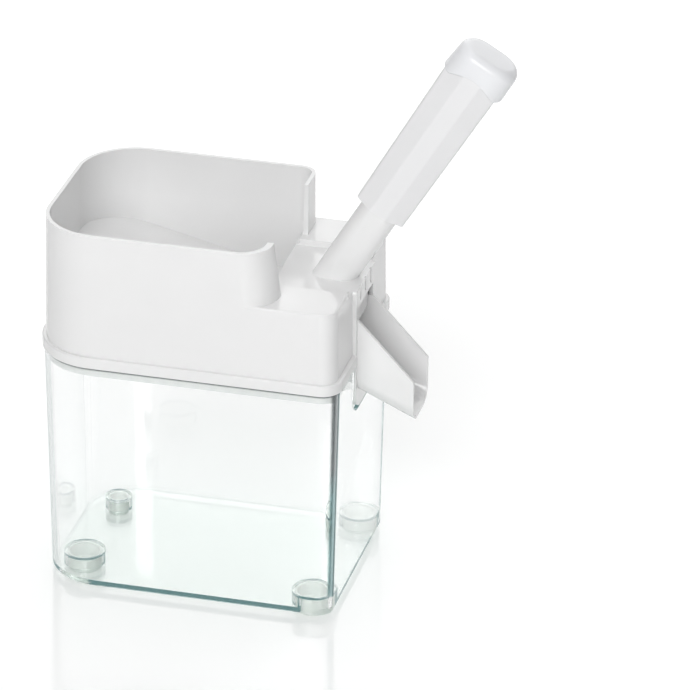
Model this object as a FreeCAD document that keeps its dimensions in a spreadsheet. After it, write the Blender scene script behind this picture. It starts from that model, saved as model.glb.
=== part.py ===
import FreeCAD, Part
import math
import os
import re
import Sketcher
from FreeCAD import Placement, Rotation, Vector

# Cherry pitter: a clear box catches the stones, and a white head with a hopper lifts off it.
# A sprung plunger, tilted towards the outlet, pushes the stone through a soft seal when it is pressed.
# Frame: +X towards the outlet, +Y to the back, +Z up, the table at Z = 0. Millimetres and degrees.

SIZES = [
    # container
    ("foot_drop", 2.0, "feet below the container's underside"),
    ("container_height", 125.0, "container's underside to its rim"),
    ("container_inset", 1.0, "container's rim inside the flange"),
    ("container_draft", 1.1, "container walls narrow downwards"),
    ("container_wall", 2.2, "container wall"),
    ("container_floor", 3.0, "container floor"),
    ("container_edge", 2.0, "round of the container's lower edge"),
    ("notch_half_width", 20.0, "half width of the notch for the outlet"),
    ("notch_depth", 29.0, "depth of the notch below the rim"),
    ("notch_radius", 11.0, "corner radius of the notch"),
    ("foot_radius", 9.0, "three wide feet"),
    ("foot_radius_small", 5.4, "rear left foot"),
    ("foot_pocket", 8.0, "pocket depth above the underside"),
    ("foot_cup_wall", 1.6, "wall round a foot pocket"),
    ("foot_left_inset", 22.0, "left feet from the flange's left end"),
    ("foot_right_inset", 15.0, "right feet from the flange's right end"),
    ("foot_front_inset", 25.0, "front left foot from the flange's front"),
    ("foot_rear_inset", 30.0, "rear left foot from the flange's back"),
    ("foot_side_inset", 14.6, "right feet from the flange's front and back"),
    # frame under the head
    ("flange_length", 160.0, "flange along X"),
    ("flange_width", 116.0, "flange along Y"),
    ("flange_left_radius", 33.0, "flange corners on the hopper side"),
    ("flange_right_radius", 10.0, "flange corners on the outlet side"),
    ("flange_height", 5.5, "flange thickness"),
    ("flange_edge", 1.0, "round of the flange's edges"),
    ("frame_floor", 2.0, "plate inside the flange"),
    ("skirt_depth", 5.3, "skirt below the flange"),
    ("skirt_gap", 0.4, "skirt to container wall"),
    ("skirt_wall", 1.8, "skirt wall"),
    ("drop_setback", 52.0, "opening for the stones, from the flange's right end"),
    # housing
    ("body_inset", 1.95, "housing inside the flange"),
    ("body_draft", 0.72, "housing walls narrow upwards"),
    ("body_wall", 2.2, "housing wall"),
    ("deck_height", 37.8, "flange top to deck"),
    ("deck_thickness", 2.2, "deck plate"),
    ("deck_edge", 1.2, "round of the deck's outer edge"),
    ("hopper_rise", 27.9, "deck to hopper rim"),
    ("hopper_wall", 1.9, "hopper wall above the deck"),
    ("hopper_setback", 33.7, "right side of the hopper at the deck, from the flange's right end"),
    ("hopper_lean", 3.6, "lean of the right side's front part"),
    ("hopper_back_setback", 38.8, "right side of the hopper's back part, from the flange's right end"),
    ("hopper_front_corner", 15.0, "front right corner of the hopper"),
    ("hopper_back_corner", 9.0, "back right corner of the hopper"),
    ("sill_setback", 41.5, "inner right side of the hopper, from the flange's right end"),
    ("gate_front_inset", 19.5, "gap in the right wall, from the flange's front"),
    ("gate_back_inset", 25.0, "gap in the right wall, from the flange's back"),
    ("bay_half_width", 27.5, "half width of the sunken bay"),
    ("bay_drop", 3.3, "deck to the bay's floor"),
    ("bay_lip", 2.5, "bay insert under the deck"),
    ("boss_radius", 4.6, "screw bosses"),
    ("boss_height", 18.0, "screw bosses above the frame plate"),
    # feed tray
    ("tray_floor", 2.0, "tray thickness"),
    ("tray_slope", 13.0, "fall of the tray towards the plunger"),
    ("tray_drop", 33.1, "tray's lowest point below the deck"),
    ("tunnel_drop", 8.8, "top of the feed tunnel below the deck"),
    # plunger base and tube
    ("plunger_tilt", 31.0, "plunger axis from the vertical"),
    ("plunger_setback", 15.8, "plunger axis at the bay's floor, from the flange's right end"),
    ("base_plate", 3.2, "bay floor thickness"),
    ("socket_half_width", 13.0, "half width of the socket under the bay"),
    ("socket_depth", 12.0, "tube end below the bay's floor, along the axis"),
    ("tube_width", 20.3, "guide tube across the tilt"),
    ("tube_depth", 15.4, "guide tube from front to back"),
    ("tube_wall", 2.0, "guide tube wall"),
    ("tube_top", 84.0, "guide tube above the bay's floor"),
    ("seat_thickness", 4.0, "spring seat"),
    ("cap_thickness", 3.0, "bush in the tube's upper end"),
    ("stop_gap", 0.3, "collar to the bush, at rest"),
    ("stripper_thickness", 2.0, "plate that holds the fruit back"),
    # seal and outlet
    ("seal_depth", 42.0, "fruit's seat below the bay's floor, along the axis"),
    ("seal_radius", 11.0, "soft seal"),
    ("seal_thickness", 1.5, "soft seal"),
    ("seal_ledge", 8.0, "hole under the seal"),
    ("seal_hole", 3.7, "opening in the seal"),
    ("slit_length", 13.0, "slits in the seal"),
    ("slit_width", 0.6, "slits in the seal"),
    ("holder_half_width", 17.0, "half width of the seal holder"),
    ("holder_wall", 2.0, "side walls of the seal holder"),
    ("holder_floor", 3.5, "floor of the seal holder"),
    ("holder_setback", 50.0, "hopper end of the seal holder, from the flange's right end"),
    ("holder_inset", 23.1, "outlet end of the seal holder, from the flange's right end"),
    ("chute_half_width", 16.0, "half width of the outlet"),
    ("chute_wall", 1.8, "outlet wall"),
    ("chute_reach", 28.6, "free end of the outlet past the flange's right end"),
    ("chute_fall", 24.6, "fall of the outlet's floor"),
    ("chute_low_drop", 74.1, "outlet's underside at its end, below the deck"),
    ("chute_end_drop", 50.9, "outlet's rim at its end, below the deck"),
    ("chute_side_drop", 20.0, "outlet's rim at the cover, below the deck"),
    ("chute_round", 8.5, "round of the outlet's floor"),
    ("cover_half_width", 19.0, "half width of the end cover"),
    ("cover_thickness", 2.2, "end cover"),
    ("cover_proud", 1.6, "end cover stands out of the housing"),
    ("cover_radius", 10.0, "lower corners of the end cover"),
    ("cover_gap", 3.0, "end cover above the notch"),
    ("mouth_drop", 13.4, "top of the mouth below the deck"),
    ("flute_width", 2.4, "flutes above the mouth"),
    ("flute_depth", 0.9, "flutes above the mouth"),
    ("flute_pitch", 10.2, "flutes above the mouth"),
    # plunger
    ("slide_gap", 0.35, "grip to guide tube"),
    ("sleeve_start", 45.0, "grip's lower end above the bay's floor"),
    ("sleeve_over_web", 18.0, "grip's upper end above its web's underside"),
    ("sleeve_width", 27.0, "grip across the tilt, lower end"),
    ("sleeve_depth", 19.0, "grip from front to back, lower end"),
    ("sleeve_taper", 0.86, "grip's sides spread upwards"),
    ("sleeve_crease", 4.5, "grip's creases from its middle"),
    ("sleeve_side", 4.6, "half height of the grip's narrow side"),
    ("sleeve_round", 2.2, "round of the grip's long edges"),
    ("press_travel", 35.5, "plunger's travel"),
    ("press_gap", 0.5, "web to the tube's top when pressed"),
    ("web_thickness", 3.0, "web in the grip"),
    ("knob_start_over_web", 7.5, "knob's lower ends above the web's underside"),
    ("knob_end_over_web", 29.5, "knob's top above the web's underside"),
    ("knob_width", 36.5, "knob across the tilt"),
    ("knob_depth", 25.5, "knob from front to back"),
    ("knob_taper", 6.5, "knob narrows upwards"),
    ("knob_round", 4.5, "round of the knob's top edge"),
    ("knob_arch", 8.0, "arch in the knob's lower edge"),
    ("rod_radius", 3.0, "plunger rod"),
    ("rod_spigot", 2.0, "rod's end inside the pin"),
    ("spigot_length", 5.0, "rod's end inside the pin"),
    ("pin_radius", 3.2, "stoning pin"),
    ("pin_tip", 14.5, "pin's end below the bay's floor, at rest"),
    ("pin_length", 20.0, "stoning pin"),
    ("pin_slot", 1.6, "cross slots in the pin"),
    ("pin_slot_depth", 6.0, "cross slots in the pin"),
    ("pin_gap", 0.4, "pin to its holes"),
    ("spring_radius", 5.2, "return spring outside"),
    ("spring_wire", 1.2, "return spring wire"),
    ("collar_thickness", 2.0, "collar on the rod"),
    # screws
    ("screw_radius", 1.5, "screw shank"),
    ("screw_length", 12.0, "screw shank"),
    ("screw_head", 2.6, "screw head radius"),
    ("screw_head_height", 1.6, "screw head"),
    ("screw_recess", 1.3, "cross recess in the head"),
    ("screw_gap", 0.2, "screw head to the skirt"),
]

doc = FreeCAD.newDocument("cherry_pitter")
sheet = doc.addObject("Spreadsheet::Sheet", "Size")
for row, (alias, value, note) in enumerate(SIZES, start=1):
    sheet.set("A%d" % row, note)
    sheet.set("B%d" % row, str(value))
    sheet.setAlias("B%d" % row, alias)
doc.recompute()

ALIASES = {alias for alias, value, note in SIZES}
NODES = []

# Heights above the table and places that several pieces share.
UNDERSIDE = "foot_drop"
RIM = "(foot_drop + container_height)"
FLANGE_TOP = "(%s + flange_height)" % RIM
DECK = "(%s + deck_height)" % FLANGE_TOP
DECK_UNDERSIDE = "(%s - deck_thickness)" % DECK
HOPPER_RIM = "(%s + hopper_rise)" % DECK
BAY_FLOOR = "(%s - bay_drop)" % DECK
BAY_UNDERSIDE = "(%s - base_plate)" % BAY_FLOOR
FRAME_PLATE_TOP = "(%s + frame_floor)" % RIM
HALF_LENGTH = "(flange_length / 2 - body_inset)"
HALF_WIDTH = "(flange_width / 2 - body_inset)"
INNER_LENGTH = "(%s - body_wall)" % HALF_LENGTH
INNER_WIDTH = "(%s - body_wall)" % HALF_WIDTH
LEFT_RADIUS = "(flange_left_radius - body_inset)"
RIGHT_RADIUS = "(flange_right_radius - body_inset)"
COVER_OUTSIDE = "(%s + cover_proud)" % HALF_LENGTH
COVER_INSIDE = "(%s - cover_thickness)" % COVER_OUTSIDE
NOTCH_BOTTOM = "(%s - notch_depth)" % RIM
SKIRT_OUTSIDE = "(container_inset + container_wall + skirt_gap)"

# Places that follow the flange's ends, the deck or the tube's top, so that neighbours keep together.
PLACES = {
    "foot_left": "flange_length / 2 - foot_left_inset",
    "foot_right": "flange_length / 2 - foot_right_inset",
    "foot_front": "flange_width / 2 - foot_front_inset",
    "foot_rear": "flange_width / 2 - foot_rear_inset",
    "foot_side": "flange_width / 2 - foot_side_inset",
    "drop_opening_left": "flange_length / 2 - drop_setback",
    "hopper_right": "flange_length / 2 - hopper_setback",
    "hopper_back_side": "flange_length / 2 - hopper_back_setback",
    "hopper_sill": "flange_length / 2 - sill_setback",
    "gate_front": "flange_width / 2 - gate_front_inset",
    "gate_back": "flange_width / 2 - gate_back_inset",
    "plunger_foot": "flange_length / 2 - plunger_setback",
    "holder_start": "flange_length / 2 - holder_setback",
    "holder_end": "flange_length / 2 - holder_inset",
    "chute_end": "flange_length / 2 + chute_reach",
    "tray_low": DECK + " - tray_drop",
    "tunnel_top": DECK + " - tunnel_drop",
    "chute_low": DECK + " - chute_low_drop",
    "chute_end_top": DECK + " - chute_end_drop",
    "chute_side_top": DECK + " - chute_side_drop",
    "mouth_top": DECK + " - mouth_drop",
    "web_height": "tube_top + press_travel + press_gap",
    "sleeve_end": "web_height + sleeve_over_web",
    "knob_start": "web_height + knob_start_over_web",
    "knob_end": "web_height + knob_end_over_web",
}


def bound(text):
    """Give each size in an expression its sheet's name, and each place its own expression."""
    def named(match):
        word = match.group()
        if word in PLACES:
            return "(%s)" % bound(PLACES[word])
        return "Size." + word if word in ALIASES else word
    return re.sub(r"[a-z][a-z0-9_]*", named, text)


def number(text):
    """Work out an expression of sizes."""
    return float(sheet.evalExpression(bound(str(text))))


def drive(thing, **properties):
    """Bind properties of an object to expressions of sizes."""
    for name, text in properties.items():
        thing.setExpression(name.replace("__", "."), bound(str(text)))
    return thing


def along_plunger(thing, distance="0"):
    """Stand an object on the plunger's axis, which leans towards the outlet."""
    thing.Placement = Placement(Vector(), Rotation(Vector(0, 1, 0), number("plunger_tilt")))
    drive(
        thing,
        Placement__Rotation__Angle="plunger_tilt",
        Placement__Base__x="plunger_foot + (%s) * sin(plunger_tilt)" % distance,
        Placement__Base__z="%s + (%s) * cos(plunger_tilt)" % (BAY_FLOOR, distance),
    )
    return thing


def new_body(name):
    body = doc.addObject("PartDesign::Body", name)
    body.Label = name
    return body


def node(thing, name=None):
    """Keep an object as a sub-part under its own name."""
    thing.Label = name or thing.Label
    NODES.append(thing)
    return thing


def sketch(body, plane="XY", offset="0"):
    """A sketch on one of the body's own planes, moved along the plane's normal."""
    number_in_body = sum(item.isDerivedFrom("Sketcher::SketchObject") for item in body.Group)
    drawing = body.newObject("Sketcher::SketchObject", "%s_sketch_%d" % (body.Name, number_in_body + 1))
    support = next(item for item in body.Origin.OriginFeatures if item.Role == plane + "_Plane")
    drawing.AttachmentSupport = [(support, "")]
    drawing.MapMode = "FlatFace"
    drive(drawing, AttachmentOffset__Base__z=offset)
    return drawing


def dimension(drawing, kind, *args):
    """Add a driving dimension; the last argument is its expression."""
    text = args[-1]
    index = drawing.addConstraint(Sketcher.Constraint(kind, *args[:-1], number(text)))
    drawing.setExpression("Constraints[%d]" % index, bound(str(text)))


def polygon(drawing, points):
    """A closed outline through points whose two coordinates are expressions."""
    values = [Vector(number(x), number(y), 0) for x, y in points]
    count = len(points)
    first = drawing.GeometryCount
    for i in range(count):
        drawing.addGeometry(Part.LineSegment(values[i], values[(i + 1) % count]))
    for i in range(count):
        drawing.addConstraint(Sketcher.Constraint("Coincident", first + i, 2, first + (i + 1) % count, 1))
    for i, (x, y) in enumerate(points):
        dimension(drawing, "DistanceX", -1, 1, first + i, 1, x)
        dimension(drawing, "DistanceY", -1, 1, first + i, 1, y)
    return drawing


def rounded(drawing, left, right, front, back, radii):
    """A rectangle with its own radius at each corner: left front, right front, right back, left back."""
    x0, x1, y0, y1 = number(left), number(right), number(front), number(back)
    r = [number(text) for text in radii]
    first = drawing.GeometryCount
    corners = [
        (Vector(x1 - r[1], y0 + r[1], 0), r[1], -90),
        (Vector(x1 - r[2], y1 - r[2], 0), r[2], 0),
        (Vector(x0 + r[3], y1 - r[3], 0), r[3], 90),
        (Vector(x0 + r[0], y0 + r[0], 0), r[0], 180),
    ]
    sides = [
        (Vector(x0 + r[0], y0, 0), Vector(x1 - r[1], y0, 0)),
        (Vector(x1, y0 + r[1], 0), Vector(x1, y1 - r[2], 0)),
        (Vector(x1 - r[2], y1, 0), Vector(x0 + r[3], y1, 0)),
        (Vector(x0, y1 - r[3], 0), Vector(x0, y0 + r[0], 0)),
    ]
    for (start, end), (centre, radius, angle) in zip(sides, corners):
        drawing.addGeometry(Part.LineSegment(start, end))
        circle_of_corner = Part.Circle(centre, Vector(0, 0, 1), radius)
        drawing.addGeometry(
            Part.ArcOfCircle(circle_of_corner, math.radians(angle), math.radians(angle + 90)))
    for i in range(8):
        drawing.addConstraint(Sketcher.Constraint("Tangent", first + i, 2, first + (i + 1) % 8, 1))
    for i in (0, 4):
        drawing.addConstraint(Sketcher.Constraint("Horizontal", first + i))
        drawing.addConstraint(Sketcher.Constraint("Vertical", first + i + 2))
    for i, text in zip((7, 1, 3, 5), radii):
        dimension(drawing, "Radius", first + i, text)
    dimension(drawing, "DistanceX", -1, 1, first + 6, 1, left)
    dimension(drawing, "DistanceX", -1, 1, first + 2, 1, right)
    dimension(drawing, "DistanceY", -1, 1, first + 0, 1, front)
    dimension(drawing, "DistanceY", -1, 1, first + 4, 1, back)
    return drawing


def centred(drawing, width, depth, radius):
    """A rounded rectangle about the origin with equal corners."""
    return rounded(
        drawing,
        "-(%s) / 2" % width, "(%s) / 2" % width, "-(%s) / 2" % depth, "(%s) / 2" % depth, [radius] * 4)


def circle(drawing, x, y, radius):
    index = drawing.addGeometry(Part.Circle(Vector(number(x), number(y), 0), Vector(0, 0, 1), number(radius)))
    dimension(drawing, "DistanceX", -1, 1, index, 3, x)
    dimension(drawing, "DistanceY", -1, 1, index, 3, y)
    dimension(drawing, "Radius", index, radius)
    return drawing


def feature(body, kind, drawing, length, taper="0", reverse=False, both=False):
    """Pad or pocket a sketch: reverse turns it to the other side, both spreads it over the two sides."""
    made = body.newObject("PartDesign::" + kind, "%s_%s_%d" % (body.Name, kind.lower(), len(body.Group)))
    made.Profile = drawing
    drive(made, Length=length, TaperAngle=taper)
    made.Reversed = reverse
    if both:
        made.SideType = "Symmetric"
    drawing.Visibility = False
    return made


def pad(body, drawing, length, **options):
    return feature(body, "Pad", drawing, length, **options)


def pocket(body, drawing, length, **options):
    return feature(body, "Pocket", drawing, length, **options)


def loft(body, kind, first, second):
    """Join two sketches with flat or conical sides, adding or cutting."""
    made = body.newObject("PartDesign::" + kind, "%s_loft_%d" % (body.Name, len(body.Group)))
    made.Profile = first
    made.Sections = [second]
    made.Ruled = True
    return made


def edges_of(shape, chosen):
    """Names of a shape's edges that a rule picks."""
    return ["Edge%d" % (i + 1) for i, edge in enumerate(shape.Edges) if chosen(edge)]


def at_height(height, tolerance=0.01):
    """A rule for edges that lie flat at a height."""
    def chosen(edge):
        box = edge.BoundBox
        return abs(box.ZMin - height) < tolerance and abs(box.ZMax - height) < tolerance
    return chosen


def round_edges(body, radius, chosen):
    """Fillet the edges of the body's last feature that a rule picks."""
    doc.recompute()
    tip = body.Tip
    made = body.newObject("PartDesign::Fillet", "%s_fillet_%d" % (body.Name, len(body.Group)))
    made.Base = (tip, edges_of(tip.Shape, chosen))
    drive(made, Radius=radius)
    return made


def flange_outline(drawing, inset):
    """The flange's outline in plan, moved inwards."""
    left = "flange_left_radius - (%s)" % inset
    right = "flange_right_radius - (%s)" % inset
    length = "(flange_length / 2 - (%s))" % inset
    width = "(flange_width / 2 - (%s))" % inset
    return rounded(drawing, "-" + length, length, "-" + width, width, [left, right, right, left])


def cut(name, base, *tools):
    """Cut tools out of a base."""
    tool = tools[0]
    if len(tools) > 1:
        tool = doc.addObject("Part::MultiFuse", name + "_tools")
        tool.Shapes = list(tools)
    made = doc.addObject("Part::Cut", name)
    made.Base = base
    made.Tool = tool
    return made


def axial_cylinder(name, radius, bottom, height):
    """A cylinder on the plunger's axis; its bottom is measured up the axis from the bay's floor."""
    made = doc.addObject("Part::Cylinder", name)
    drive(made, Radius=radius, Height=height)
    return along_plunger(made, bottom)


def seat_height(x, below="0"):
    """Height of the fruit's sloping seat at a place along X."""
    middle_x = "(plunger_foot - seal_depth * sin(plunger_tilt))"
    middle_z = "(%s - seal_depth * cos(plunger_tilt))" % BAY_FLOOR
    return "(%s - tan(plunger_tilt) * ((%s) - %s) - (%s))" % (middle_z, x, middle_x, below)


def tray_height(x, below="0"):
    """Height of the feed tray's floor at a place along X."""
    return "(tray_low + tan(tray_slope) * (hopper_sill - tray_floor - (%s)) - (%s))" % (x, below)


def chute_height(x, above="0"):
    """Height of the outlet's underside at a place along X."""
    return "(chute_low + tan(chute_fall) * (chute_end - (%s)) + (%s))" % (x, above)


FEET = {
    "foot_front_left": ("-foot_left", "-foot_front", "foot_radius"),
    "foot_rear_left": ("-foot_left", "foot_rear", "foot_radius_small"),
    "foot_front_right": ("foot_right", "-foot_side", "foot_radius"),
    "foot_rear_right": ("foot_right", "foot_side", "foot_radius"),
}


def make_container():
    """Clear box with drafted walls, cups for the feet and a notch for the outlet in its right wall."""
    body = new_body("pit_container")
    pad(body, flange_outline(sketch(body, offset=RIM), "container_inset"), "container_height",
        taper="-container_draft", reverse=True)
    round_edges(body, "container_edge", at_height(number(UNDERSIDE)))
    pocket(body, flange_outline(sketch(body, offset=RIM), "container_inset + container_wall"),
           "container_height - container_floor", taper="-container_draft")
    for x, y, radius in FEET.values():
        cup = circle(sketch(body, offset=UNDERSIDE + " + container_floor / 2"), x, y, radius + " + foot_cup_wall")
        pad(body, cup, "foot_pocket - container_floor / 2 + foot_cup_wall")
    for x, y, radius in FEET.values():
        pocket(body, circle(sketch(body, offset=UNDERSIDE), x, y, radius), "foot_pocket", reverse=True)
    notch = rounded(sketch(body, "YZ", "flange_length / 2"), "-notch_half_width", "notch_half_width",
                    NOTCH_BOTTOM, RIM + " + notch_depth", ["notch_radius"] * 4)
    pocket(body, notch, "flange_right_radius + container_wall")
    node(body)


def make_feet():
    """Soft feet pressed into the container's cups."""
    for name, (x, y, radius) in FEET.items():
        body = new_body(name)
        pad(body, circle(sketch(body), x, y, radius), "foot_drop + foot_pocket")
        round_edges(body, "foot_drop / 2", at_height(0.0))
        node(body)


SCREWS = [("-1", "-1"), ("-1", "1"), ("1", "-1"), ("1", "1")]


def screw_place(side, row):
    """Centre of a screw on the diagonal of a corner, its head just inside the skirt."""
    radius = "flange_left_radius" if side == "-1" else "flange_right_radius"
    outwards = "(%s - %s - skirt_wall - screw_head - screw_gap) / sqrt(2)" % (radius, SKIRT_OUTSIDE)
    return (
        "%s * (flange_length / 2 - %s + %s)" % (side, radius, outwards),
        "%s * (flange_width / 2 - %s + %s)" % (row, radius, outwards),
    )


def make_lid_frame():
    """Flange that rests on the container's rim, with a skirt inside it and an opening for the stones."""
    body = new_body("lid_frame")
    pad(body, flange_outline(sketch(body, offset=RIM), "0"), "flange_height")
    round_edges(body, "flange_edge", at_height(number(FLANGE_TOP)))
    pocket(body, flange_outline(sketch(body, offset=FLANGE_TOP), "body_inset + body_wall"),
           "flange_height - frame_floor")
    skirt = sketch(body, offset=RIM)
    flange_outline(skirt, SKIRT_OUTSIDE)
    flange_outline(skirt, SKIRT_OUTSIDE + " + skirt_wall")
    pad(body, skirt, "skirt_depth", reverse=True)
    opening = rounded(sketch(body, offset=FLANGE_TOP), "drop_opening_left", "flange_length",
                      "-holder_half_width", "holder_half_width", ["skirt_wall"] * 4)
    pocket(body, opening, "flange_height + skirt_depth")
    gap = rounded(sketch(body, offset=FLANGE_TOP), COVER_INSIDE + " - skirt_wall * 3", "flange_length",
                  "-cover_half_width", "cover_half_width", ["skirt_wall"] * 4)
    pocket(body, gap, "flange_height + skirt_depth")
    seats = sketch(body, offset=FLANGE_TOP)
    holes = sketch(body, offset=FRAME_PLATE_TOP)
    for side, row in SCREWS:
        circle(seats, *screw_place(side, row), "boss_radius")
        circle(holes, *screw_place(side, row), "screw_radius")
    pocket(body, seats, "flange_height - frame_floor")
    pocket(body, holes, "frame_floor")
    node(body)


def hopper_outline(drawing, rise, inset, right, shrink, whole=True):
    """The hopper's plan at a height above the deck, or only its front right part, drafted as the housing is."""
    edge = "((%s) + tan(body_draft) * (deck_height + (%s)))" % (inset, rise)
    left = "-(%s - %s)" % (HALF_LENGTH, edge)
    front = "-(%s - %s)" % (HALF_WIDTH, edge)
    back = "%s - %s" % (HALF_WIDTH, edge)
    left_radius = "%s - %s" % (LEFT_RADIUS, edge)
    front_radius = "hopper_front_corner - (%s)" % shrink
    back_radius = "hopper_back_corner - (%s)" % shrink
    if whole:
        return rounded(drawing, left, right, front, back, [left_radius, front_radius, back_radius, left_radius])
    return rounded(drawing, "0", right, front, "0", ["hopper_wall", front_radius, "hopper_wall", "hopper_wall"])


def make_housing():
    """White shell: a hopper wall that is one with the sides, a deck beside it and a sunken bay in the deck."""
    body = new_body("hopper_housing")
    pad(body, flange_outline(sketch(body, offset=FLANGE_TOP), "body_inset"), "deck_height", taper="-body_draft")
    deck = number(DECK)
    sill = number("hopper_right")
    round_edges(body, "deck_edge", lambda edge: at_height(deck)(edge) and edge.BoundBox.XMax > sill)
    root = "(deck_edge + hopper_wall)"
    foot = "%s - %s" % (DECK, root)
    low = hopper_outline(sketch(body, offset=foot), "-" + root, "0", "hopper_back_side", "0")
    high = hopper_outline(sketch(body, offset=HOPPER_RIM), "hopper_rise", "0", "hopper_back_side", "0")
    loft(body, "AdditiveLoft", low, high)
    low = hopper_outline(sketch(body, offset=foot), "-" + root, "0",
                         "hopper_right + hopper_lean * %s / hopper_rise" % root, "0", whole=False)
    high = hopper_outline(sketch(body, offset=HOPPER_RIM), "hopper_rise", "0",
                          "hopper_right - hopper_lean", "0", whole=False)
    loft(body, "AdditiveLoft", low, high)
    pocket(body, flange_outline(sketch(body, offset=FLANGE_TOP), "body_inset + body_wall"),
           "deck_height - deck_thickness", reverse=True)
    low = hopper_outline(sketch(body, offset=DECK_UNDERSIDE), "-deck_thickness", "hopper_wall",
                         "hopper_sill", "hopper_wall")
    high = hopper_outline(sketch(body, offset=HOPPER_RIM), "hopper_rise", "hopper_wall",
                          "hopper_back_side - hopper_wall", "hopper_wall")
    loft(body, "SubtractiveLoft", low, high)
    gate = rounded(sketch(body, offset=DECK), "hopper_sill - hopper_front_corner / 2", "flange_length / 2",
                   "-gate_front", "gate_back", ["hopper_wall"] * 4)
    pocket(body, gate, "hopper_rise", reverse=True)
    bay = rounded(sketch(body, offset=BAY_FLOOR), "hopper_sill - hopper_wall", "flange_length",
                  "-bay_half_width", "bay_half_width", ["hopper_wall / 4"] * 4)
    pocket(body, bay, "bay_drop + hopper_rise", reverse=True)
    slot = rounded(sketch(body, offset=FLANGE_TOP), COVER_INSIDE + " - body_wall * 2", "flange_length",
                   "-cover_half_width", "cover_half_width", ["hopper_wall / 4"] * 4)
    pocket(body, slot, "deck_height", reverse=True)
    for side, row in SCREWS:
        pad(body, circle(sketch(body, offset=FRAME_PLATE_TOP), *screw_place(side, row), "boss_radius"),
            "boss_height")
    pilots = sketch(body, offset=FRAME_PLATE_TOP)
    for side, row in SCREWS:
        circle(pilots, *screw_place(side, row), "screw_radius")
    pocket(body, pilots, "screw_length - frame_floor", reverse=True)
    node(body)


def make_tray():
    """Sloping hopper floor with a wall at its low end, and a slot there for the channel's tongue."""
    body = new_body("hopper_tray")
    outline = rounded(
        sketch(body, offset="tray_low - tray_floor * 4"),
        "-" + INNER_LENGTH, "hopper_sill", "-" + INNER_WIDTH, INNER_WIDTH,
        ["%s - body_wall" % LEFT_RADIUS, "hopper_wall", "hopper_wall", "%s - body_wall" % LEFT_RADIUS])
    pad(body, outline, "%s - tray_low + tray_floor * 4" % DECK_UNDERSIDE)
    far = "-flange_length"
    inside = "hopper_sill - tray_floor"
    above = polygon(sketch(body, "XZ"), [(far, tray_height(far)), (inside, tray_height(inside)),
                                         (inside, HOPPER_RIM), (far, HOPPER_RIM)])
    pocket(body, above, "flange_width", both=True)
    past = "hopper_sill + tray_floor"
    under = polygon(sketch(body, "XZ"), [(far, tray_height(far, "tray_floor")), (far, UNDERSIDE),
                                         (past, UNDERSIDE), (past, tray_height(past, "tray_floor"))])
    pocket(body, under, "flange_width", both=True)
    bay = rounded(sketch(body, offset=DECK_UNDERSIDE), inside + " - tray_floor", past,
                  "-bay_half_width", "bay_half_width", ["hopper_wall / 4"] * 4)
    pocket(body, bay, "bay_drop - deck_thickness")
    tunnel = rounded(sketch(body, offset="tunnel_top"), "holder_start - hopper_wall / 4", "hopper_sill * 2",
                     "-holder_half_width", "holder_half_width", ["hopper_wall / 4"] * 4)
    pocket(body, tunnel, "tunnel_top - %s" % RIM)
    node(body)


def make_plunger_base():
    """Floor of the bay, with a lip under the deck and a wedge below that holds the tilted tube."""
    block = new_body("plunger_base_block")
    right = COVER_INSIDE
    plate = rounded(sketch(block, offset=BAY_UNDERSIDE), "hopper_sill", right,
                    "-(bay_half_width + bay_lip)", "bay_half_width + bay_lip", ["hopper_wall / 4"] * 4)
    pad(block, plate, "%s - %s" % (DECK_UNDERSIDE, BAY_UNDERSIDE))
    trough = rounded(sketch(block, offset=BAY_FLOOR), "0", "flange_length",
                     "-bay_half_width", "bay_half_width", ["hopper_wall / 4"] * 4)
    pocket(block, trough, "bay_drop", reverse=True)
    clip_x = "%s - body_wall - cover_proud + cover_thickness - hopper_wall / 4" % COVER_INSIDE
    for sign in ("-", ""):
        start = "%s(cover_half_width)" % sign
        end = "%s(bay_half_width + bay_lip * 2)" % sign
        front, back = (end, start) if sign else (start, end)
        corner = rounded(sketch(block, offset=DECK), clip_x, "flange_length", front, back,
                         ["hopper_wall / 4"] * 4)
        pocket(block, corner, "deck_height")
    end_x = "plunger_foot - socket_depth * sin(plunger_tilt)"
    end_z = "%s - socket_depth * cos(plunger_tilt)" % BAY_FLOOR
    wedge_left = "%s - (%s - (%s)) / tan(plunger_tilt)" % (end_x, BAY_UNDERSIDE, end_z)
    wedge_low = "%s - tan(plunger_tilt) * (%s - (%s))" % (end_z, right, end_x)
    wedge = polygon(sketch(block, "XZ"), [(wedge_left, BAY_UNDERSIDE), (right, wedge_low),
                                          (right, BAY_UNDERSIDE)])
    pad(block, wedge, "socket_half_width * 2", both=True)
    socket = new_body("tube_socket")
    pad(socket, centred(sketch(socket, offset="-socket_depth * 2"), "tube_width", "tube_depth",
                        "tube_depth * 0.49"), "tube_top")
    along_plunger(socket)
    node(cut("plunger_base", block, socket))


def make_guide_tube():
    """Oval tube that stands in the wedge and carries the grip."""
    body = new_body("guide_tube")
    outline = centred(sketch(body, offset="-socket_depth"), "tube_width", "tube_depth", "tube_depth * 0.49")
    pad(body, outline, "socket_depth + tube_top")
    round_edges(body, "tube_wall / 3", at_height(number("tube_top")))
    bore = centred(sketch(body, offset="tube_top"), "tube_width - tube_wall * 2", "tube_depth - tube_wall * 2",
                   "tube_depth * 0.49 - tube_wall")
    pocket(body, bore, "tube_top + socket_depth")
    node(along_plunger(body))


def bush(name, bottom, thickness, hole):
    """A plug that fills the tube's bore, with a round hole on the axis."""
    body = new_body(name)
    outline = sketch(body, offset=bottom)
    centred(outline, "tube_width - tube_wall * 2", "tube_depth - tube_wall * 2", "tube_depth * 0.49 - tube_wall")
    circle(outline, "0", "0", hole)
    pad(body, outline, thickness)
    node(along_plunger(body))


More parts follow.
